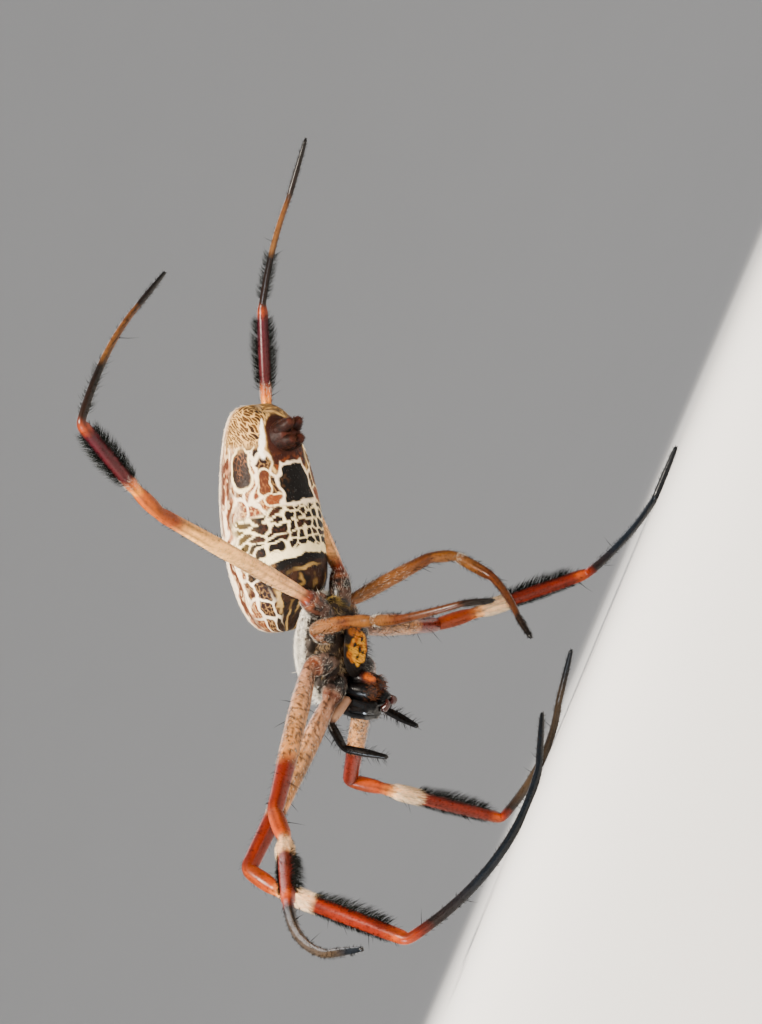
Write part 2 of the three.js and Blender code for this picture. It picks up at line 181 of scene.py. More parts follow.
def cells(x, y, size, salt=0, jitter=0.85):
    """Net of cells in the plane: distance to the nearest wall, in cell sizes, and a number for each cell."""
    q = np.stack([x, y], -1) / size
    base = np.floor(q)
    first, second, label = np.full(len(q), 9.0), np.full(len(q), 9.0), np.zeros(len(q))
    for dx in (-1, 0, 1):
        for dy in (-1, 0, 1):
            cell = base + (dx, dy)
            spot = cell + 0.5 + jitter * (np.stack([lattice(cell, salt), lattice(cell, salt + 5)], -1) - 0.5)
            d = norm(q - spot, axis=-1)
            closer = d < first
            second = np.where(closer, first, np.minimum(second, d))
            label = np.where(closer, lattice(cell, salt + 9), label)
            first = np.where(closer, d, first)
    return (second - first) / 2, label


def linear(colour):
    """A linear colour, also from a hexadecimal display colour."""
    if not isinstance(colour, str):
        return np.asarray(colour, float)
    c = np.array([int(colour[i:i + 2], 16) for i in (0, 2, 4)]) / 255
    return np.where(c <= 0.04045, c / 12.92, ((c + 0.055) / 1.055) ** 2.4)


def tiled(colour, values):
    """The same colour for each of the values."""
    return np.tile(linear(colour), (len(values), 1))


def plain(colour):
    return lambda p, q, points: tiled(colour, p)


def paint(base, colour, mask):
    """base with colour laid over it as far as mask says, from 0 to 1."""
    mask = np.clip(mask, 0, 1)[:, None]
    return base * (1 - mask) + linear(colour) * mask


# Materials
def new_material(name):
    material = bpy.data.materials.new(name)
    material.use_nodes = True
    tree = material.node_tree
    return material, tree.nodes.new, tree.links.new, tree.nodes["Principled BSDF"]


def set_inputs(node, values):
    for socket, value in values.items():
        node.inputs[socket].default_value = value


def object_noise(node, link, size, detail=3.0):
    """Noise with features of about size millimetres, fixed to the object."""
    texture = node("ShaderNodeTexNoise")
    set_inputs(texture, {"Scale": 1 / (size * MM), "Detail": detail})
    link(node("ShaderNodeTexCoord").outputs["Object"], texture.inputs["Vector"])
    return texture.outputs["Fac"]


def ramp(node, link, value, low, high, start=0.3, end=0.7):
    """value from start to end mapped to low to high."""
    mapped = node("ShaderNodeMapRange")
    set_inputs(mapped, {"From Min": start, "From Max": end, "To Min": low, "To Max": high})
    link(value, mapped.inputs["Value"])
    return mapped.outputs["Result"]


def shaded(node, link, value, shader):
    """Makes the shader's colour a product with value, and returns the input of the other factor."""
    product = node("ShaderNodeMix")
    product.data_type = "RGBA"
    product.blend_type = "MULTIPLY"
    product.inputs["Factor"].default_value = 1.0
    grey = node("ShaderNodeCombineColor")
    for channel in grey.inputs:
        link(value, channel)
    link(grey.outputs["Color"], product.inputs["B"])
    link(product.outputs["Result"], shader.inputs["Base Color"])
    return product.inputs["A"]


def cuticle(name, roughness, grain, relief, tone=0.12, coat=0.0, sheen=0.0, specular=0.5):
    """A skin in its marking colours, with fine tone, gloss and relief; grain and relief in millimetres."""
    material, node, link, shader = new_material(name)
    marks = node("ShaderNodeVertexColor")
    marks.layer_name = "markings"
    value = ramp(node, link, object_noise(node, link, grain * 2.5), 1 - tone, 1 + tone)
    link(marks.outputs["Color"], shaded(node, link, value, shader))
    rough = ramp(node, link, object_noise(node, link, grain * 1.5), roughness - 0.06, roughness + 0.08)
    link(rough, shader.inputs["Roughness"])
    bump = node("ShaderNodeBump")
    set_inputs(bump, {"Strength": 1.0, "Distance": relief * MM})
    link(object_noise(node, link, grain, 4.0), bump.inputs["Height"])
    link(bump.outputs["Normal"], shader.inputs["Normal"])
    set_inputs(shader, {"Coat Weight": coat, "Coat Roughness": 0.12, "Sheen Weight": sheen,
                        "Specular IOR Level": specular})
    return material


SKIN = cuticle("abdomen_skin", 0.5, 0.16, 0.03, tone=0.1, specular=0.1)
LEG = cuticle("leg_cuticle", 0.3, 0.12, 0.006, specular=0.22)
PLATE = cuticle("plate_cuticle", 0.5, 0.2, 0.03, specular=0.1)
GLOSS = cuticle("glossy_black_cuticle", 0.14, 0.16, 0.004, specular=0.45)
EYE = cuticle("eye_lens", 0.06, 0.3, 0.0005, tone=0.02, coat=1.0)
BRISTLE = cuticle("bristles", 0.6, 0.1, 0.002, specular=0.08)
SILK = cuticle("silky_hair", 0.5, 0.1, 0.002, tone=0.06, sheen=0.1, specular=0.3)

CREAM = (0.92, 0.72, 0.47)
WHITE = (0.95, 0.84, 0.68)


# Meshes
def add_object(name, data):
    made = bpy.data.objects.new(name, data)
    bpy.context.scene.collection.objects.link(made)
    return made


def add_mesh(name, points, faces, material):
    """A smooth mesh from millimetre points."""
    mesh = bpy.data.meshes.new(name)
    mesh.from_pydata(points * MM, [], faces)
    mesh.shade_smooth()
    mesh.materials.append(material)
    return add_object(name, mesh)


def add_piece(name, points, faces, material, uv, colours):
    """A piece with its marking colours and an OFBake map given for each corner."""
    piece = add_mesh(name, points, faces, material)
    piece.data.uv_layers.new(name="OFBake").data.foreach_set("uv", uv.astype(np.float32).ravel())
    rgba = np.ones((len(points), 4), np.float32)
    rgba[:, :3] = colours
    marks = piece.data.attributes.new("markings", "FLOAT_COLOR", "POINT")
    marks.data.foreach_set("color", rgba.ravel())
    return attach(piece, "root")


def ring_quads(rings):
    """Quads between rings of point numbers."""
    turned = np.roll(rings, -1, axis=1)
    return np.stack([rings[:-1], rings[1:], turned[1:], turned[:-1]], -1).reshape(-1, 4).tolist()


class Surface:
    """A closed surface: point(p, q) gives its points, p from end to end and q once round."""

    def __init__(self, point, rows, columns):
        self.point, self.rows, self.columns = point, rows, columns

    def frame_at(self, p, q):
        """Points, outward normals, directions of growing p, and the area that p and q cover there."""
        step = 1e-3
        low, high = np.clip(p - step, 0, 1), np.clip(p + step, 0, 1)
        lengthwise = (self.point(high, q) - self.point(low, q)) / (high - low)[:, None]
        round_it = (self.point(p, q + step) - self.point(p, q - step)) / (2 * step)
        normal = np.cross(lengthwise, round_it)
        return self.point(p, q), unit(normal), unit(lengthwise), norm(normal, axis=1)

    def mesh_parts(self):
        """Points, faces, OFBake coordinates, and p and q, with one point at each end."""
        columns = self.columns
        p_rows = np.linspace(0, 1, self.rows)
        p, q = np.meshgrid(p_rows[1:-1], np.arange(columns) / columns, indexing="ij")
        p = np.concatenate([[0], p.ravel(), [1]])
        q = np.concatenate([[0], q.ravel(), [0]])
        points = self.point(p, q)
        points[:, 2] = np.maximum(points[:, 2], 0)
        rings = 1 + np.arange((self.rows - 2) * columns).reshape(-1, columns)
        first_fan = np.stack([np.zeros(columns, int), rings[0], np.roll(rings[0], -1)], -1)
        last_fan = np.stack([np.full(columns, len(points) - 1), np.roll(rings[-1], -1), rings[-1]], -1)
        faces = first_fan.tolist() + ring_quads(rings) + last_fan.tolist()
        left = np.arange(columns) / columns
        right = left + 1 / columns
        middle = (left + right) / 2
        low, high = p_rows[1:-2, None], p_rows[2:-1, None]

        def corners(*pairs):
            stacked = [np.stack(np.broadcast_arrays(*pair), -1).reshape(-1, 2) for pair in pairs]
            return np.stack(stacked, 1).reshape(-1, 2)

        uv = np.concatenate([
            corners((middle, 0.0), (left, p_rows[1]), (right, p_rows[1])),
            corners((left, low), (left, high), (right, high), (right, low)),
            corners((middle, 1.0), (right, p_rows[-2]), (left, p_rows[-2])),
        ])
        return points, faces, uv, p, q


def add_skin(name, surfaces, material, colours):
    """One piece from one or several surfaces, in the colours of colours(p, q, points)."""
    parts, all_faces, start = [], [], 0
    for number, surface in enumerate(surfaces):
        points, faces, uv, p, q = surface.mesh_parts()
        uv = uv * (1 / len(surfaces), 1) + (number / len(surfaces), 0)
        parts.append((points, uv, colours(p, q, points)))
        all_faces += [[corner + start for corner in face] for face in faces]
        start += len(points)
    points, uv, tones = (np.concatenate(part) for part in zip(*parts))
    return add_piece(name, points, all_faces, material, uv, tones)


def add_hairs(name, places, length, width, rise, colours, material):
    """Thin three-sided hairs. Each leaves its root at rise[0] degrees to the skin and ends at rise[1]."""
    p, q, roots, outward, along = places
    length = length[:, None]
    angles = np.radians([rise[0] + (rise[1] - rise[0]) * t for t in (0.0, 0.22, 0.72)])
    ways = [outward * sin(angle) + along * cos(angle) for angle in angles]
    middle = roots + ways[1] * length * 0.45
    tip = middle + ways[2] * length * 0.55
    side = unit(np.cross(outward, along))
    rings = []
    for centre, way, share in ((roots, ways[0], 1.0), (middle, ways[1], 0.7)):
        facing = np.cross(side, way)
        half = 0.5 * width * share
        corners = (side, -0.5 * side + 0.87 * facing, -0.5 * side - 0.87 * facing)
        rings.append(np.stack([centre + corner * half for corner in corners], 1))
    points = np.concatenate(rings + [tip[:, None]], 1)
    points[..., 2] = np.maximum(points[..., 2], 0)
    pattern = [(0, 2, 1)]  # of 7 points: three at the root, three in the middle and the tip
    for k in range(3):
        n = (k + 1) % 3
        pattern += [(k, n, 3 + n), (k, 3 + n, 3 + k), (3 + k, 3 + n, 6)]
    pattern = np.array(pattern)
    faces = (np.arange(len(p))[:, None, None] * 7 + pattern).reshape(-1, 3)
    patch = np.array([[0, 0], [1, 0], [2, 0], [0, 1], [1, 1], [2, 1], [1, 2]]) * 0.0012
    uv = np.stack([q % 1, p], -1)[:, None] * 0.995 + patch
    tones = np.repeat(colours, 7, axis=0)
    corner_uv = uv[:, pattern].reshape(-1, 2)
    return add_piece(name, points.reshape(-1, 3), faces.tolist(), material, corner_uv, tones)


def add_coat(name, surface, tries, seed, keep, length, width, rise, tone, lie=None, spread=0.3,
             material=BRISTLE):
    """Hairs spread over a surface, thinned to keep(p, q, points, outward), from 0 to 1.

    They lie towards growing p or where lie(points) says, in the colours of tone(p, q, points).
    """
    random = np.random.default_rng(seed)
    p, q = random.uniform(0.002, 0.998, tries), random.random(tries)
    roots, outward, along, area = surface.frame_at(p, q)
    chance = np.clip(area / np.percentile(area, 98), 0, 1) * keep(p, q, roots, outward)
    kept = random.random(tries) < chance
    p, q, roots, outward, along = (part[kept] for part in (p, q, roots, outward, along))
    random = np.random.default_rng(seed + 1000)
    if lie is not None:
        along = lie(roots)
        along = unit(along - outward * np.sum(along * outward, -1, keepdims=True))
    side = np.cross(outward, along)
    sway = random.normal(0, spread, (len(p), 2))
    along = unit(along + side * sway[:, :1])
    outward = unit(outward + side * 0.5 * sway[:, 1:])
    side = unit(np.cross(outward, along))
    along = unit(np.cross(side, outward))
    size = (length(p, q) if callable(length) else length) * random.uniform(0.55, 1.15, len(p))
    colours = tone(p, q, roots) * random.uniform(0.8, 1.2, (len(p), 1))
    places = (p, q, roots - outward * ROOT_DEPTH, outward, along)
    return add_hairs(name, places, size, width, rise, np.clip(colours, 0, 1), material)


# Abdomen
def abdomen_point(p, q):
    """p from the rear end (0) to the front end (1), q round from the back over the left side."""
    axis = -np.cos(pi * p)
    turn = tau * q
    across, height = np.sin(turn), np.cos(turn)
    ring = np.maximum(0, 1 - axis * axis)
    x = np.sign(axis) * np.abs(axis) ** 0.85 * (ABDOMEN_LENGTH / 2 - COAT_DEPTH)
    taper = 1 - 0.17 * below(x, -9, 1)
    girth = (ABDOMEN_RADIUS - COAT_DEPTH) * taper * ring ** np.where(x < 0, 0.22, 0.3)
    lungs = 0.75 * near(x, 4.6, 1.9)
    under = (girth + lungs * height * height) * (1 - 0.55 * smooth(x, 5.6, 8.6))
    z = np.where(height > 0, height * girth * 0.98, height * under)
    x = x + 0.6 * np.maximum(0, -height) * below(x, -9, -6)
    return place(ABDOMEN, np.stack([x, across * girth, z], -1))


class AbdomenMap:
    """Where points lie for the markings: s towards the head, y round from the middle of the belly."""

    def __init__(self, points):
        x, across, height = in_own_frame(ABDOMEN, points)
        wander = [noise(points, 1.1, k) - 0.5 + 0.35 * (noise(points, 0.32, k + 60) - 0.5) for k in (1, 2)]
        turn = np.arctan2(across, height)
        self.points, self.x = points, x
        self.s = x + 0.55 * wander[0]
        self.y = (pi - np.abs(turn)) * ARC_RADIUS + 0.55 * wander[1]
        self.from_back = turn * ARC_RADIUS + 0.3 * wander[1]
        self.arc = self.s - 0.2 * self.y
        self.fine = noise(points, 0.16, 4)
        self.grain = noise(points, 0.45, 6)
        wall, self.fine_cell = cells(self.s * 0.8, self.y * 1.2, 0.36, 23)
        self.fine_lines = below(wall, 0.03, 0.1)


def flank_marks(on):
    """White back, and flanks with orange and brown streaks along the body."""
    tone = paint(tiled(CREAM, on.s), WHITE, smooth(on.y, 7, 9))
    back = flat_noise(on.s * 0.55, on.y * 0.8, 1.0, 12)
    tone = paint(tone, "c9ab84", 0.5 * smooth(back, 0.55, 0.8) * smooth(on.y, 7.5, 9.5))
    streak = flat_noise(on.s * 0.34, on.y * 2.6, 1.0, 11) + 0.35 * (on.grain - 0.5)
    flank = smooth(on.y, 2.6, 4.2) * below(on.y, 6.8, 8.2)
    tone = paint(tone, "8a4a22", 0.9 * flank * smooth(streak, 0.3, 0.42))
    tone = paint(tone, "3c170a", 0.9 * flank * smooth(streak, 0.48, 0.6))
    speck = flat_noise(on.s * 0.9, on.y * 2.0, 0.34, 13)
    return paint(tone, "d9b88a", 0.7 * flank * smooth(speck, 0.66, 0.78))


def back_marks(tone, on):
    """Pale scales parted by thin lines, tan lines along the back, and pairs of dark pits."""
    wall, label = cells(on.s * 0.8, on.from_back, 0.55, 51)
    scales = smooth(on.y, 7.2, 8.4)
    tone = paint(tone, "c2ab84", 0.7 * scales * smooth(label, 0.55, 0.9))
    tone = paint(tone, "5c3f22", 0.75 * scales * below(wall, 0.02, 0.08))
    side_lines = near(np.abs(on.from_back), 3.0 - 0.04 * on.s * on.s, 0.14)
    lines = near(on.from_back, 0, 0.16) + 0.7 * side_lines
    tone = paint(tone, "6b4624", 0.8 * lines * below(np.abs(on.s), 5.5, 7))
    for pit_x, pit_aside in ((4.6, 1.0), (2.0, 1.35), (-0.8, 1.35), (-3.4, 1.1)):
        pit = np.hypot(on.x - pit_x, np.abs(on.from_back) - pit_aside)
        tone = paint(tone, "8a6236", 0.7 * below(pit, 0.25, 0.42))
        tone = paint(tone, "1c100a", below(pit, 0.12, 0.2))
    return tone


def blotch_marks(tone, on):
    """Brown blotches parted by a net of cream, and each parted again by fine lines."""
    wall, label = cells(on.s * 0.66, on.y * 0.9, 1.05, 21)
    belly = below(on.y, 4.6, 6.4)
    filling = paint(tiled("602a12", on.s), "24100a", smooth(label + 0.3 * on.fine, 0.35, 0.75))
    filling = paint(filling, "120a06", smooth(label, 0.55, 0.75) * smooth(on.fine_cell, 0.25, 0.5))
    filling = paint(filling, "c9985c", 0.8 * on.fine_lines * below(label, 0.35, 0.9))
    tone = paint(tone, CREAM, belly * below(wall, 0.05, 0.1))
    filled = smooth(wall, 0.05, 0.1) * smooth(label + 0.3 * below(on.y, 1, 5.5), 0.05, 0.12)
    return paint(tone, filling, filled * belly)


def dark_cells(tone, on):
    """Dark cells in the middle of the belly, drawn out into rows to the side."""
    zone = smooth(on.arc, -1.5, -1.1) * below(on.arc, 2.15, 2.4) * below(on.y, 5.2, 6.3)
    drawn_out = on.y - 0.45 * np.maximum(0, on.y - 1.4)
    wall, label = cells(on.s * 1.1 - 0.25 * on.y, drawn_out, 0.76, 31, 0.7)
    dark = paint(tiled("0e0805", on.s), "33190c", smooth(on.fine + 0.5 * label, 0.7, 1.15))
    dark = paint(dark, "4a3a1c", smooth(on.y, 3.4, 5.4))
    tone = paint(tone, "f2d9a4", zone)
    return paint(tone, dark, zone * smooth(wall, 0.05, 0.11) * smooth(label, 0.02, 0.05))


# Large blotches to each side of the black patch: centre, half length, half width and colour
BLOTS = ((-4.1, 4.7, 1.6, 0.95, "1c0f08"), (-2.9, 2.75, 1.0, 0.55, "4a2412"),
         (-1.55, 2.3, 0.55, 0.75, "6a3216"), (-5.9, 3.9, 0.55, 0.6, "24130a"))


def large_blots(tone, on):
    worn = 0.7 * on.fine_lines * smooth(noise(on.points, 0.8, 24), 0.4, 0.6)
    for centre_s, centre_y, long, wide, shade in BLOTS:
        blot = np.hypot((on.s - centre_s) / long, (on.y - centre_y) / wide)
        tone = paint(tone, "f0d49e", below(blot, 1.14, 1.22))
        tone = paint(tone, paint(tiled(shade, on.s), "7a4a28", worn), below(blot, 0.94, 1.04))
    return tone


def rear_net(tone, on):
    """Fine tan net over the rear end, its cells drawn out along the body."""
    narrowing = np.clip((9.8 + on.s) / 3.6, 0.4, 1)
    wall, label = cells(on.s * 0.6, on.y * 1.3 * narrowing, 0.34, 41)
    rear = below(on.s, -6.2, -5.2) * below(on.y, 6.4, 7.6)
    tone = paint(tone, "c69a5a", rear)
    brown = paint(tiled("4a2f14", on.s), "24130a", smooth(label, 0.5, 0.9) * below(on.y, 3, 5))
    return paint(tone, brown, rear * smooth(wall, 0.05, 0.12) * smooth(label, 0.04, 0.1))


def spinneret_marks(tone, on):
    """Maroon brown with a tan edge round the spinnerets, and a white bar to each side."""
    ring = np.hypot((on.s + 5.6) / 1.15, on.y)
    tone = paint(tone, "2c130c", below(ring, 2.1, 2.35))
    red = smooth(noise(on.points, 0.2, 8), 0.5, 0.7) * smooth(on.s, -5.4, -4.6)
    tone = paint(tone, "6a3214", 0.8 * red * below(ring, 2.0, 2.3))
    uneven = 0.4 + 0.6 * smooth(noise(on.points, 0.7, 9), 0.4, 0.55)
    tone = paint(tone, "c9a05e", near(ring, 2.35, 0.16) * uneven)
    half_width = 0.3 - 0.1 * smooth(on.s, -6.6, -5)
    bar = np.hypot((on.s + 6.25) / 1.35, (on.y - 2.5 - 0.2 * (on.s + 6.15)) / half_width)
    return paint(tone, WHITE, below(bar, 0.9, 1.15))


def black_patch(tone, on):
    """Black patch with cream edges in front of the spinnerets."""
    patch = np.maximum(np.abs((on.s + 2.75) / 1.5), np.abs(on.y / (1.3 + 0.14 * (on.s + 2.65))))
    patch = patch + 0.3 * (noise(on.points, 0.5, 15) - 0.5)
    tone = paint(tone, CREAM, below(patch, 1.16, 1.24))
    tone = paint(tone, "080605", below(patch, 0.98, 1.06))
    speck = smooth(noise(on.points, 0.2, 14), 0.62, 0.75) * smooth(on.y, 0.5, 1.2)
    return paint(tone, "3a2412", 0.7 * speck * below(patch, 0.9, 1.0))


def front_marks(tone, on):
    """Cream band, black stripe, and brown front of the belly with olive and pale streaks."""
    reach = 4.0 - 0.35 * np.clip(on.s - 3, 0, 5)
    front = smooth(on.arc, 2.9, 3.2) * below(on.y, reach, reach + 1.2)
    brown = paint(tiled("2a170c", on.s), "110a06", smooth(on.grain + 0.3 * on.fine, 0.4, 0.9))
    stir = 0.6 * (on.grain - 0.5)
    pale = flat_noise(on.s * 0.6 + stir, on.y * 1.7 + stir, 1.0, 17)
    brown = paint(brown, "6e5228", 0.75 * smooth(pale, 0.56, 0.68))
    brown = paint(brown, "b08c50", 0.8 * smooth(pale, 0.68, 0.78))
    tone = paint(tone, brown, front)
    tone = paint(tone, "f2dca6", smooth(near(on.arc, 2.5, 0.38), 0.35, 0.6) * below(on.y, 4.6, 5.6))
    tone = paint(tone, "080605", smooth(near(on.arc, 3.02, 0.26), 0.35, 0.6) * below(on.y, 2.4, 3.6))
    second = smooth(near(on.arc, 3.7, 0.2), 0.4, 0.7) * below(on.y, 1.2, 2.4)
    return paint(tone, "9a7a44", 0.8 * second * smooth(noise(on.points, 0.8, 19), 0.35, 0.6))


def abdomen_colours(p, q, points):
    on = AbdomenMap(points)
    tone = flank_marks(on)
    for mark in (back_marks, blotch_marks, dark_cells, large_blots, rear_net, spinneret_marks, black_patch,
                 front_marks):
        tone = mark(tone, on)
    return tone


abdomen = Surface(abdomen_point, 310, 320)
piece = add_skin("abdomen_skin", [abdomen], SKIN, abdomen_colours)
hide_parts("abdomen")


# Head and its plates
def ball_point(body, shape):
    """Surface from a shape of (axis, across, height), its p running from the rear end to the front."""
    def point(p, q):
        axis = -np.cos(pi * p)
        turn = tau * q
        return place(body, np.stack(shape(axis, np.sin(turn), np.cos(turn)), -1))
    return point


def ring_of(axis, power):
    return np.maximum(0, 1 - axis * axis) ** power


def carapace_shape(axis, across, height):
    x = axis * (CARAPACE_LENGTH / 2 - COAT_DEPTH)
    narrowed = 1 - 0.34 * smooth(x, 0.6, 4.2) - 0.1 * below(x, -4.5, -1.5)
    half_width = (CARAPACE_WIDTH / 2 - COAT_DEPTH) * narrowed * ring_of(axis, 0.36)
    rise = 1 + 0.16 * smooth(x, 0.8, 3.2) - 0.18 * below(x, -4, -0.5)
    groove = 0.16 * near(x, 0.4, 0.7) * near(across, 0, 0.35)
    above = CARAPACE_HEIGHT * (rise - groove) * ring_of(axis, 0.4)
    under = 0.75 * ring_of(axis, 0.3)
    return x, across * half_width, height * np.where(height > 0, above - COAT_DEPTH, under)


def carapace_colours(p, q, points):
    tone = paint(tiled("3a322c", p), "6d6258", smooth(noise(points, 0.5, 3), 0.4, 0.7))
    return paint(tone, "141110", smooth(p, 0.86, 0.93))


carapace = Surface(ball_point(HEAD, carapace_shape), 120, 160)
piece = add_skin("carapace_plate", [carapace], PLATE, carapace_colours)
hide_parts("carapace")


def sternum_shape(axis, across, height):
    x = -0.6 + axis * 2.45
    half_width = (1.75 - 0.45 * below(x, -3, 0.5)) * ring_of(axis, 0.42)
    return x, across * half_width, -2.75 + height * 0.4 * ring_of(axis, 0.3)


def sternum_colours(p, q, points):
    """A yellow patch in the middle with a dark edge, and an orange spot behind it."""
    tone = paint(tiled("9a5205", p), "c88a18", smooth(noise(points, 0.4, 5), 0.35, 0.6))
    x, across, _ = in_own_frame(HEAD, points)
    lobes = flat_noise(x, np.abs(across), 0.5, 6)
    edge = np.hypot(np.abs(x + 0.35) / 1.35, np.abs(across) / (1.35 - 0.2 * x)) + 0.9 * (lobes - 0.5)
    tone = paint(tone, "0b0604", smooth(edge, 0.9, 1.05))
    tone = paint(tone, "0b0604", smooth(lobes, 0.62, 0.7))
    spot = np.hypot(x + 2.2, np.abs(across) - 0.5)
    return paint(tone, "8a4a10", 0.8 * below(spot, 0.3, 0.5))


sternum = Surface(ball_point(HEAD, sternum_shape), 60, 80)
piece = add_skin("sternum_plate", [sternum], PLATE, sternum_colours)
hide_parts("sternum")


def core_shape(axis, across, height):
    """Soft dark membrane between the plates and the coxae."""
    return (-0.6 + axis * 3.9, across * 2.5 * ring_of(axis, 0.5), -1.15 + height * 1.35 * ring_of(axis, 0.5))


membrane = Surface(ball_point(HEAD, core_shape), 40, 48)
piece = add_skin("soft_membrane", [membrane], PLATE, plain("241a15"))


# Limbs
PATH_STEP = 0.1  # distance between the points of a limb's path
HALF_WINDOW = 12  # how many of them, to each side, ease a bend
ROW_STEP = 0.16  # distance between the rows of its mesh
DOME = 0.55  # depth of its domed ends, as a share of the radius
WAIST = 0.22  # half length of the waist at a joint
FAR = 9.0  # added to the distance from a free end, which has no waist
ASIDE = (0.31, 0.9, 0.27)  # a direction that no limb starts in


def bend(start, end, bow=(0, 0, 0)):
    """A path from start to end, bowed to one side."""
    t = np.linspace(0, 1, max(5, int(norm(end - start) / PATH_STEP)))[:, None]
    return start + (end - start) * t + np.asarray(bow) * 4 * t * (1 - t)


class Limb(Surface):
    """A round limb along a path; stations number its segments, 1.5 being the middle of the second."""

    def __init__(self, segments, columns, soften, inset=0.0, pinch=0.0):
        path, radius, station = [], [], []
        last = len(segments) - 1
        for number, (points, profile, size) in enumerate(segments):
            t = np.linspace(0, 1, len(points))
            shares = np.interp(t, *zip(*profile))
            reach = norm(points[-1] - points[0])
            from_start = t * reach + FAR * (number == 0)
            from_end = (1 - t) * reach + FAR * (number == last)
            shares = shares * (1 - pinch * near(np.minimum(from_start, from_end), 0, WAIST))
            keep = slice(0, None if number == last else -1)
            path.append(points[keep])
            radius.append((shares * size - inset)[keep])
            station.append((number + t)[keep])
        path, radius, station = (np.concatenate(part) for part in (path, radius, station))
        steps = np.concatenate([[0], np.cumsum(norm(np.diff(path, axis=0), axis=1))])
        start = path[0] - unit(path[1] - path[0]) * radius[0] * DOME
        end = path[-1] + unit(path[-1] - path[-2]) * radius[-1] * DOME
        even = np.linspace(0, steps[-1], int(steps[-1] / PATH_STEP))
        weights = np.exp(-((np.arange(-HALF_WINDOW, HALF_WINDOW + 1) * PATH_STEP / soften) ** 2))
        weights /= weights.sum()

        def eased(values):
            return np.convolve(np.pad(values, HALF_WINDOW, mode="edge"), weights, "valid")

        path = np.stack([eased(np.interp(even, steps, path[:, k])) for k in range(3)], -1)
        radius = np.interp(even, steps, radius)
        self.radius = eased(radius) if soften > 0.3 else radius
        self.path = np.concatenate([[start], path, [end]])
        self.station = np.concatenate([[0], np.interp(even, steps, station), [len(segments)]])
        gaps = norm(np.diff(self.path, axis=0), axis=1)
        self.length = gaps.sum()
        self.at = np.concatenate([[0], np.cumsum(gaps)]) / self.length
        self.tangent = unit(np.gradient(self.path, axis=0))
        side = unit(np.cross(self.tangent[0], ASIDE))
        sides = [side]
        for tangent in self.tangent[1:]:
            side = unit(side - tangent * (side @ tangent))
            sides.append(side)
        self.sides = np.array(sides)
        super().__init__(self.tube_point, max(12, int(self.length / ROW_STEP)), columns)

    def along_path(self, p, values):
        return np.stack([np.interp(p, self.at, values[:, k]) for k in range(3)], -1)

    def tube_point(self, p, q):
        """The ends are domed: close to them the radius follows a circle."""
        tangent = unit(self.along_path(p, self.tangent))
        side = self.along_path(p, self.sides)
        side = unit(side - tangent * np.sum(side * tangent, -1, keepdims=True))
        other = np.cross(side, tangent)
        radius = np.interp(p, self.at[1:-1], self.radius)
        reach = np.minimum(p, 1 - p) * self.length / (radius * DOME)
        radius = radius * np.sqrt(np.clip(1 - (1 - np.clip(reach, 0, 1)) ** 2, 0, 1))
        turn = tau * q
        offset = side * np.cos(turn)[:, None] + other * np.sin(turn)[:, None]
        return self.along_path(p, self.path) + offset * radius[:, None]

    def station_at(self, p):
        return np.interp(p, self.at, self.station)


def peg(start, end, profile, columns, soften, bow=(0, 0, 0), inset=0.0):
    """A limb of one segment, its profile in (fraction of its length, radius)."""
    return Limb([(bend(start, end, bow), profile, 1.0)], columns, soften, inset)


def tones_along(station, stops):
    """Colours from a list of (station, linear red, green, blue)."""
    at, *channels = zip(*stops)
    return np.stack([np.interp(station, at, channel) for channel in channels], -1)


# Chelicerae and fangs
CHELICERA_PROFILE = ((0, 0.7), (0.15, 0.9), (0.45, 1), (0.8, 0.86), (1, 0.58))
FANG_PROFILE = ((0, 0.3), (0.6, 0.22), (1, 0.1))
fang_bases = []
for side, sign in SIDES.items():
    fang_base = peg(in_head(3.8, sign * 1.02, -1.3), in_head(4.3, sign * 0.97, -4.6),
                    CHELICERA_PROFILE, 48, 0.2, inset=LIMB_DEPTH)
    piece = add_skin(f"chelicera_{side}_shell", [fang_base], GLOSS, plain("0d0c0c"))
    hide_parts(f"chelicera_{side}")
    fang_bases.append(fang_base)
    sag = in_head(0, 0, -0.25) - in_head(0, 0, 0)
    fang = peg(in_head(4.1, sign * 0.72, -5.05), in_head(3.45, sign * 0.35, -5.2), FANG_PROFILE, 20, 0.1, sag)
    piece = add_skin(f"fang_{side}_tooth", [fang], GLOSS, plain("2a0f0a"))
    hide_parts(f"fang_{side}")


# Mouthparts: a lip between two plates, black with a brown-red middle and an orange root
LIP_PROFILE = ((0, 0.75), (0.5, 0.7), (1, 0.4))
MOUTH_PLATE_PROFILE = ((0, 0.55), (0.4, 0.68), (0.8, 0.66), (1, 0.4))


def mouth_colours(p, q, points):
    x, across, height = in_own_frame(HEAD, points)
    inner = below(np.abs(across), 0.35, 0.75) * below(height, -3.5, -3.0)
    tone = paint(tiled("060404", p), "451a10", inner * smooth(noise(points, 0.4, 7), 0.25, 0.55))
    root = near(x, 1.85, 0.35) * near(across, 0, 0.5) * below(height, -2.9, -2.6)
    return paint(tone, "a04a0c", smooth(root, 0.3, 0.6))


mouth = [peg(in_head(2.0, 0, -2.5), in_head(2.3, 0, -4.0), LIP_PROFILE, 28, 0.2)]
for sign in SIDES.values():
    mouth.append(peg(in_head(2.5, sign * 1.05, -2.4), in_head(2.9, sign * 0.6, -4.4),
                     MOUTH_PLATE_PROFILE, 28, 0.2))
piece = add_skin("mouth_plates", mouth, LEG, mouth_colours)
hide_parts("mouthparts")


# Eyes: two rows of four
EYES = {
    "front_median": (4.25, 0.32, 0.75),
    "rear_median": (3.95, 0.38, 1.4),
    "front_lateral": (4.05, 1.3, 0.55),
    "rear_lateral": (3.7, 1.42, 0.95),
}


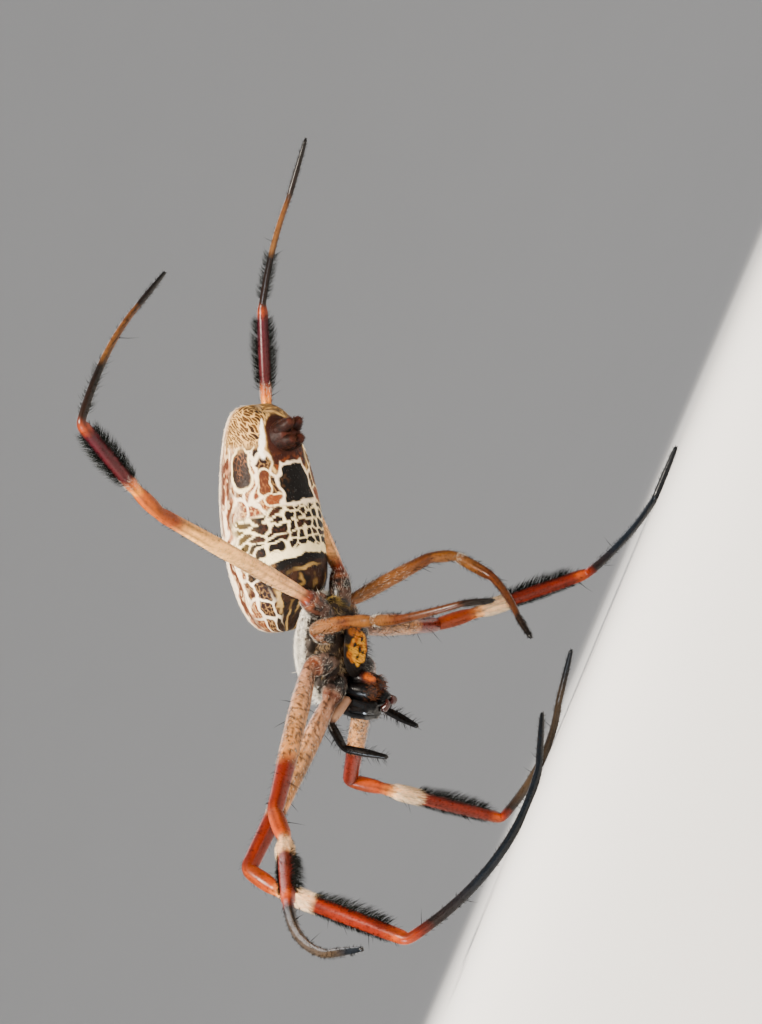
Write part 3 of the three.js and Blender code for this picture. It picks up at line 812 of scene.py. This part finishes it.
def eye_shape(x, y, z):
    def shape(axis, across, height):
        ring = ring_of(axis, 0.5)
        return x + EYE_RADIUS * axis, y + EYE_RADIUS * across * ring, z + EYE_RADIUS * height * ring
    return shape


for where, (x, y, z) in EYES.items():
    for side, sign in SIDES.items():
        ball = Surface(ball_point(HEAD, eye_shape(x, sign * y, z)), 20, 28)
        piece = add_skin(f"eye_{where}_{side}_lens", [ball], EYE, plain("080605"))
        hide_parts(f"eye_{where}_{side}")

# Palps
PALPS = {
    "left": ((3.1, 1.65, -2.5), (4.6, 3.2, -1.6), (6.2, 4.0, -3.1), (6.8, 3.3, -6.5)),
    "right": ((3.1, -1.65, -2.5), (4.7, -2.4, -1.4), (6.3, -3.1, -2.8), (7.0, -2.4, -6.0)),
}
PALP_PROFILES = (
    ((0, 0.4), (0.5, 0.42), (1, 0.34)),
    ((0, 0.36), (0.5, 0.38), (1, 0.32)),
    ((0, 0.34), (0.5, 0.35), (1, 0.2)),
)
PALP_STOPS = ((0, 0.24, 0.12, 0.07), (0.75, 0.3, 0.16, 0.09), (0.92, 0.1, 0.04, 0.02),
              (1.0, 0.008, 0.005, 0.003), (3, 0.003, 0.002, 0.0015))
palps = {}
for side, joints in PALPS.items():
    joints = [in_head(*joint) for joint in joints]
    segments = [(bend(joints[k], joints[k + 1]), PALP_PROFILES[k], 1.0) for k in range(3)]
    palps[side] = palp = Limb(segments, 24, 0.25, LIMB_DEPTH, 0.15)
    piece = add_skin(f"palp_{side}_skin", [palp], LEG,
                     lambda p, q, points: tones_along(palp.station_at(p), PALP_STOPS))
    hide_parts(f"palp_{side}")

# Legs: colours by station, the second pair as the first
LEG_STOPS = {
    1: ((0, 0.08, 0.05, 0.038), (0.62, 0.1, 0.06, 0.045), (0.7, 0.04, 0.02, 0.014),
        (0.76, 0.3, 0.15, 0.09), (0.84, 0.09, 0.02, 0.006), (0.97, 0.1, 0.03, 0.012),
        (1.05, 0.3, 0.14, 0.08), (1.4, 0.42, 0.19, 0.07), (1.62, 0.38, 0.15, 0.04),
        (1.72, 0.1, 0.007, 0.001), (1.96, 0.13, 0.01, 0.001), (2.1, 0.24, 0.032, 0.002),
        (2.9, 0.24, 0.03, 0.002), (3.03, 0.3, 0.07, 0.01), (3.11, 0.8, 0.38, 0.12), (3.17, 0.95, 0.6, 0.3),
        (3.26, 0.9, 0.5, 0.22), (3.34, 0.13, 0.009, 0.001), (3.86, 0.13, 0.009, 0.001),
        (3.95, 0.3, 0.04, 0.002), (4.03, 0.16, 0.012, 0.001), (4.11, 0.008, 0.004, 0.003),
        # painted bluish sheen: the blue tint of the black feet from station 4.4 on
        (4.4, 0.003, 0.005, 0.008), (6, 0.002, 0.003, 0.0045)),
    3: ((0, 0.06, 0.025, 0.01), (0.66, 0.14, 0.05, 0.015), (0.76, 0.2, 0.09, 0.04),
        (0.86, 0.1, 0.02, 0.004), (1.1, 0.18, 0.066, 0.016), (1.6, 0.17, 0.058, 0.012),
        (1.94, 0.09, 0.022, 0.003), (2.1, 0.12, 0.04, 0.007), (2.9, 0.1, 0.034, 0.005),
        (3.1, 0.085, 0.032, 0.006), (3.5, 0.11, 0.038, 0.007), (3.95, 0.06, 0.013, 0.002),
        (4.3, 0.06, 0.016, 0.003), (4.9, 0.05, 0.013, 0.002), (5.05, 0.012, 0.005, 0.002),
        (6, 0.003, 0.0025, 0.002)),
    4: ((0, 0.05, 0.025, 0.015), (0.64, 0.06, 0.02, 0.01), (0.76, 0.16, 0.05, 0.02),
        (0.88, 0.05, 0.008, 0.003), (1.0, 0.2, 0.03, 0.006), (1.1, 0.8, 0.38, 0.15),
        (1.5, 0.84, 0.42, 0.13), (1.8, 0.75, 0.34, 0.08), (1.92, 0.3, 0.05, 0.005),
        (2.1, 0.28, 0.055, 0.002), (2.9, 0.28, 0.05, 0.002), (3.04, 0.5, 0.15, 0.01),
        # painted purple sheen: the purple tint of the shin from station 3.24 to 3.85
        (3.12, 0.35, 0.07, 0.004), (3.24, 0.056, 0.005, 0.006), (3.85, 0.05, 0.004, 0.008),
        (3.95, 0.2, 0.025, 0.002), (4.04, 0.01, 0.004, 0.002), (4.42, 0.005, 0.003, 0.002),
        (4.5, 0.1, 0.04, 0.01), (4.9, 0.1, 0.035, 0.008), (5.05, 0.01, 0.004, 0.002),
        (6, 0.003, 0.0025, 0.002)),
}
LEG_STOPS[2] = LEG_STOPS[1]
# Painted highlight: olive brown along the metatarsi of these two legs only, while their pairs on the other
# side stay black
FEET_WITH_PAINTED_HIGHLIGHT = [("right", 1), ("left", 2)]
PAINTED_OLIVE_HIGHLIGHT = (0.042, 0.024, 0.01)
COXA_BROWN = (0.006, 0.004, 0.003)


def leg_limb(side, pair):
    mirror = (1, SIDES[side], 1)
    bow, *angles = LEGS[side, pair]
    joints = [in_head(*np.multiply(ends[pair], mirror)) for ends in (COXA_STARTS, COXA_ENDS)]
    for angle, length in zip(angles, SEGMENT_LENGTHS[pair]):
        joints.append(joints[-1] + direction(*angle) * length)
    before, own = direction(*angles[2]), direction(*angles[3])
    bows = [(0, 0, 0)] * 6
    bows[4] = unit(before - own * (before @ own)) * bow
    paths = [bend(*ends) for ends in zip(joints, joints[1:], bows)]
    return Limb(list(zip(paths, PROFILES, SEGMENT_RADII[pair])), 28, 0.35, LIMB_DEPTH, 0.16)


def leg_colours(side, pair, leg):
    def colours(p, q, points):
        station = leg.station_at(p)
        tone = tones_along(station + 0.05 * (noise(points, 0.5, 51) - 0.5), LEG_STOPS[pair])
        # painted olive-brown highlight on the metatarsi of two legs
        if (side, pair) in FEET_WITH_PAINTED_HIGHLIGHT:
            tone = paint(tone, PAINTED_OLIVE_HIGHLIGHT, 0.85 * smooth(station, 4.05, 4.4) * below(station, 5.1, 5.7))
        pale = smooth(tone.mean(axis=1), 0.05, 0.13)
        blotch = noise(points, 0.4, 54) + 0.5 * (noise(points, 0.13, 55) - 0.5)
        tone = paint(tone, COXA_BROWN, smooth(blotch, 0.36, 0.5) * below(station, 0.66, 0.75))
        tone = paint(tone, tone * 0.5, 0.6 * smooth(blotch, 0.5, 0.7) * pale * below(station, 1.2, 1.9))
        speck = smooth(noise(points, 0.13, 52), 0.54, 0.66) * (0.9 if pair < 3 else 0.3)
        tone = paint(tone, tone * 0.12, speck * pale * below(station, 1.9, 2.0))
        # Lengthwise streaks: the darker ones are painted shade and the paler ones painted highlight lines
        # along the segments
        lengthwise = np.stack([p * leg.length * 0.25, np.cos(tau * q) * 2, np.sin(tau * q) * 2], -1)
        streak = noise(lengthwise, 0.8, 53)
        tone = paint(tone, tone * 0.45, 0.8 * smooth(streak, 0.5, 0.7))
        return paint(tone, tone * 1.6, 0.8 * below(streak, 0.25, 0.42) * pale)
    return colours


legs = {}
for side, pair in LEGS:
    legs[side, pair] = leg = leg_limb(side, pair)
    name = f"leg_{side}_{pair}"
    piece = add_skin(f"{name}_skin", [leg], LEG, leg_colours(side, pair, leg))
    nodes = [f"{name}_{part}" for part in ("coxa", "femur", "patella", "tibia", "metatarsus_tarsus")]
    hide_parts(*nodes)

# Claws: two small hooks on each foot
CLAW_LENGTH = 0.26
CLAW_PROFILE = ((0, 0.05), (0.6, 0.04), (1, 0.015))
claws = []
for leg in legs.values():
    tip, ahead, aside = leg.path[-2], leg.tangent[-2], leg.sides[-1]
    for lean in (-1, 1):
        end = tip + unit(ahead + 0.5 * lean * aside) * CLAW_LENGTH
        claws.append(peg(tip, end, CLAW_PROFILE, 8, 0.05, 0.1 * np.cross(aside, ahead)))
piece = add_skin("claws", claws, GLOSS, plain("0c0605"))

# Spinnerets on their collar, and the pedicel
COLLAR_PROFILE = ((0, 1.5), (0.6, 1.3), (1, 1.05))
SPINNERET_PROFILE = ((0, 0.66), (0.6, 0.55), (1, 0.3))
PEDICEL_PROFILE = ((0, 0.75), (0.5, 0.6), (1, 0.65))
spinners = [peg(in_abdomen(-6.1, 0, -2.0), in_abdomen(-6.3, 0, -3.5), COLLAR_PROFILE, 48, 0.2)]
for x, lean in ((-5.8, 0.2), (-6.7, 0.7)):
    for y in (0.5, -0.5):
        spinners.append(peg(in_abdomen(x, y, -3.0), in_abdomen(x - lean, y * 0.8, -4.4),
                            SPINNERET_PROFILE, 32, 0.2))


def spinner_colours(p, q, points):
    tone = paint(tiled("200e0a", p), "0f0705", smooth(noise(points, 0.35, 61), 0.4, 0.7))
    return paint(tone, "3c1a12", smooth(p, 0.8, 0.95))


piece = add_skin("spinnerets_skin", spinners, PLATE, spinner_colours)
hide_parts("spinnerets")
waist = peg(in_abdomen(5.8, 0, -2.4), in_head(-4.2, 0, -0.2), PEDICEL_PROFILE, 28, 0.35)
piece = add_skin("pedicel_skin", [waist], LEG, plain("5c4034"))
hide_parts("pedicel")


# Coats of hair
SILVER = np.array([0.82, 0.76, 0.64])
RUST = np.array([0.10, 0.035, 0.015])
JET = (0.004, 0.003, 0.002)
BLACK_HAIR = (0.005, 0.006, 0.004)
BAND_HAIR = (0.92, 0.66, 0.4)
HEAD_UP = HEAD[0][:, 2]
FADE = 0.05  # how much of a segment the hair needs to thin out


def on_spans(limb, *spans):
    """Hair inside spans of stations, each span (start, end, share)."""
    def keep(p, q, points, outward):
        station = limb.station_at(p)
        shares = [share * smooth(station, start, start + FADE) * below(station, end - FADE, end)
                  for start, end, share in spans]
        return np.max(shares, axis=0)
    return keep


def towards_tip(start, end):
    return lambda p, q, points, outward: smooth(p, start, end)


def everywhere(p, q, points, outward):
    return np.ones(len(p))


def carapace_lie(points):
    """Back from the eyes and down to both sides."""
    x, across, _ = in_own_frame(HEAD, points)
    return unit(np.stack([-0.9 - 0.05 * x, 0.55 * across, np.full(len(x), -0.1)], -1)) @ HEAD[0].T


def carapace_tone(p, q, points):
    return paint(tiled(SILVER, p), (0.42, 0.36, 0.3), 0.6 * smooth(noise(points, 0.5, 71), 0.5, 0.75))


def on_back(p, q, points, outward):
    """Dense on the back, thin at the eyes, none under the rim."""
    return smooth(outward @ HEAD_UP, -0.8, -0.45) * (1 - 0.75 * smooth(p, 0.9, 0.97))


def on_rim(p, q, points, outward):
    return near(outward @ HEAD_UP, -0.1, 0.4)


def membrane_tone(p, q, points):
    """Dark with pale locks, and yellow towards the pedicel."""
    tone = tiled((0.01, 0.007, 0.005), p)
    tone = paint(tone, (0.3, 0.2, 0.1), smooth(noise(points, 0.5, 72), 0.55, 0.7))
    return paint(tone, (0.45, 0.3, 0.08), below(p, 0.1, 0.22))


def on_plate(p, q, points, outward):
    return smooth(-outward @ HEAD_UP, -0.2, 0.2)


def on_abdomen(p, q, points, outward):
    return 0.35 + 0.65 * noise(points, 1.5, 73)


def abdomen_hair_tone(p, q, points):
    own = abdomen_colours(p, q, points)
    return paint(own * 0.8, SILVER, 0.3 * smooth(own.mean(axis=1), 0.3, 0.6))


piece = add_coat("carapace_silk", carapace, 42000, 1, on_back, 0.75, 0.04, (38, 6), carapace_tone,
                 carapace_lie, 0.35, SILK)
piece = add_coat("carapace_fringe", carapace, 14000, 2, on_rim, 1.1, 0.034, (66, 40), plain(SILVER * 1.1),
                 carapace_lie, 0.6, SILK)
piece = add_coat("membrane_hair", membrane, 12000, 3, everywhere, 0.5, 0.03, (45, 15), membrane_tone,
                 spread=0.6)
piece = add_coat("sternum_bristles", sternum, 1100, 4, on_plate, 0.75, 0.035, (75, 55), plain(JET),
                 spread=0.4)
for number, surface in enumerate(mouth):
    piece = add_coat(f"mouth_fringe_{number}", surface, 500, 5 + number, towards_tip(0.5, 0.8), 0.45, 0.045,
                     (60, 30), plain(RUST))
for number, surface in enumerate(fang_bases):
    piece = add_coat(f"chelicera_bristles_{number}", surface, 260, 15 + number, towards_tip(0.1, 0.5), 0.5,
                     0.03, (60, 40), plain(JET))
for number, surface in enumerate(spinners):
    piece = add_coat(f"spinneret_hair_{number}", surface, 900, 25 + number, everywhere, 0.3, 0.025, (45, 25),
                     plain(RUST * 0.5))
piece = add_coat("abdomen_down", abdomen, 14000, 8, on_abdomen, 0.3, 0.022, (40, 14), abdomen_hair_tone,
                 spread=0.5, material=SILK)

# Coats of the legs and palps. By leg pair: spans and lengths of the brushes, and tries for the spines
BRUSH_SPANS = {
    1: [(3.26, 3.88, 1.0)],
    2: [(3.26, 3.88, 1.0)],
    4: [(3.14, 3.88, 1.0), (4.03, 4.46, 0.9)],
}
BRUSH_LENGTHS = {1: 1.3, 2: 1.25, 4: 1.15}
FOOT_BRUSH_LENGTH = 0.75
SPINES = {1: 52, 2: 52, 3: 36, 4: 48}


def add_brush(name, seed, side, pair, leg):
    """Two fringes, to both sides of the shin as seen from the front."""
    sideways = unit(np.cross(direction(*LEGS[side, pair][3]), (0, 1, 0)))
    on_leg = on_spans(leg, *BRUSH_SPANS[pair])
    first, last, _ = BRUSH_SPANS[pair][0]

    def brushed(p, q, points, outward):
        return on_leg(p, q, points, outward) * smooth(np.abs(outward @ sideways), 0.6, 0.97)

    def brush_length(p, q):
        """Longest in the middle of the shin, and short on its outer side in the front legs."""
        station = leg.station_at(p)
        along_shin = np.clip((station - first) / (last - first), 0, 1)
        outward = leg.frame_at(p, q)[1]
        share = 1 if pair == 4 else 0.4 + 0.6 * smooth(outward @ sideways, -0.2, 0.3)
        on_shin = BRUSH_LENGTHS[pair] * (0.62 + 0.38 * np.sin(pi * along_shin)) * share
        return np.where(station > 4, FOOT_BRUSH_LENGTH, on_shin)

    piece = add_coat(f"{name}_brush", leg, 30000, seed, brushed, brush_length, 0.03, (62, 28),
                     plain(BLACK_HAIR), spread=0.22)


def add_leg_coats(side, pair, leg):
    name = f"leg_{side}_{pair}"
    seed = 100 * pair + (7 if side == "left" else 13)
    if pair in BRUSH_SPANS:
        add_brush(name, seed, side, pair, leg)
    keep = on_spans(leg, (0.05, 0.98, 0.4), (1.02, 1.7, 0.3 if pair < 3 else 0.12), (3.02, 3.26, 0.8))
    piece = add_coat(f"{name}_down", leg, 14000, seed + 1, keep, 0.36, 0.02, (30, 8), plain(SILVER * 0.6),
                     spread=0.4, material=SILK)
    if pair < 3:
        keep = on_spans(leg, (3.06, 3.3, 1.0))
        piece = add_coat(f"{name}_band", leg, 30000, seed + 4, keep, 0.95, 0.03, (22, 6), plain(BAND_HAIR),
                         spread=0.15, material=SILK)
    keep = on_spans(leg, (0.1, 1.0, 0.2), (1.0, 2.95, 0.16), (2.95, 3.97, 0.35), (4.03, 5.0, 0.5),
                    (4.95, 6, 1.0))
    piece = add_coat(f"{name}_bristles", leg, 9000, seed + 2, keep,
                     lambda p, q: np.where(leg.station_at(p) > 4, 0.32, 0.48), 0.03, (50, 28), plain(JET),
                     spread=0.35)
    keep = on_spans(leg, (1.15, 1.95, 0.7), (2.1, 2.9, 0.4), (3.05, 3.95, 1.0), (4.05, 4.85, 0.8))
    piece = add_coat(f"{name}_spines", leg, SPINES[pair], seed + 3, keep, 1.35, 0.06, (62, 50), plain(JET),
                     spread=0.2)


for (side, pair), leg in legs.items():
    add_leg_coats(side, pair, leg)
for side, palp in palps.items():
    keep = on_spans(palp, (0.2, 1.0, 0.15), (1.0, 3.0, 1.0))
    piece = add_coat(f"palp_{side}_bristles", palp, 420, {"left": 901, "right": 902}[side], keep,
                     0.75, 0.035, (62, 45), plain(JET), spread=0.4)


# Camera: close, low and rolled, so that the floor lies to the right
def pose(spot, turn):
    return Matrix.Translation(np.asarray(spot) * MM) @ Matrix(turn.tolist()).to_4x4()


CAMERA_SPOT = np.array([0, -190, 1.5]) + CENTRING
FOCAL_LENGTH = 85.64
ROLL, TILT = radians(23), radians(5.417)

# Down and the world's axes as the camera sees them, x to the right of the picture and y up
down = np.array([cos(ROLL), -sin(ROLL), 0])
world_z = unit(-down * cos(TILT) + (0, 0, -sin(TILT)))
ahead = np.array([0, 0, -1.0])
world_y = unit(ahead - world_z * (ahead @ world_z))
world_x = np.cross(world_y, world_z)
lens = bpy.data.cameras.new("camera")
lens.lens = FOCAL_LENGTH
lens.sensor_width = 36
lens.clip_start = 0.005
camera = add_object("camera", lens)
camera.matrix_world = pose(CAMERA_SPOT, np.vstack([world_x, world_y, world_z]))
bpy.context.scene.camera = camera

# Floor: round, and curving up into a low wall far from the part
FLOOR_COLOUR = (0.62, 0.61, 0.59, 1)
TURNS = 96
material, node, link, shader = new_material("floor")
tint = ramp(node, link, object_noise(node, link, 60), 0.97, 1.0, 0, 1)
shaded(node, link, tint, shader).default_value = FLOOR_COLOUR
shader.inputs["Roughness"].default_value = 0.9
rise = np.linspace(0.02, 1, 60)
radii = np.concatenate([[0, 200, 500], 500 + 1100 * rise])[:, None]
heights = np.concatenate([[0, 0, 0], 800 * rise ** 4])[:, None]
turn = tau * np.arange(TURNS) / TURNS
points = np.stack(np.broadcast_arrays(radii * np.cos(turn), radii * np.sin(turn), heights), -1)
rings = np.arange(len(radii) * TURNS).reshape(-1, TURNS)
add_mesh("floor", points.reshape(-1, 3), ring_quads(rings), material)

# Light
world = bpy.data.worlds.new("studio")
bpy.context.scene.world = world
world.use_nodes = True
set_inputs(world.node_tree.nodes["Background"], {"Color": (0.95, 0.96, 1.0, 1), "Strength": 0.62})
LIT_SPOT = (0, 0, 22)


def soft_light(name, spot, size, power, colour=(1, 1, 1)):
    light = bpy.data.lights.new(name, "AREA")
    light.shape = "DISK"
    light.size = size * MM
    light.energy = power
    light.color = colour
    toward = unit(np.subtract(LIT_SPOT, spot))
    right = unit(np.cross(toward, (0.1, 0.3, 1)))
    turn = np.column_stack([right, np.cross(right, toward), -toward])
    add_object(name, light).matrix_world = pose(spot, turn)


soft_light("key", (-35, -140, 160), 60, 1.75, (1.0, 0.9, 0.78))
soft_light("rim", (20, 140, 130), 120, 0.1)
soft_light("side", (-150, -110, 30), 50, 0.45, (0.8, 0.9, 1.0))
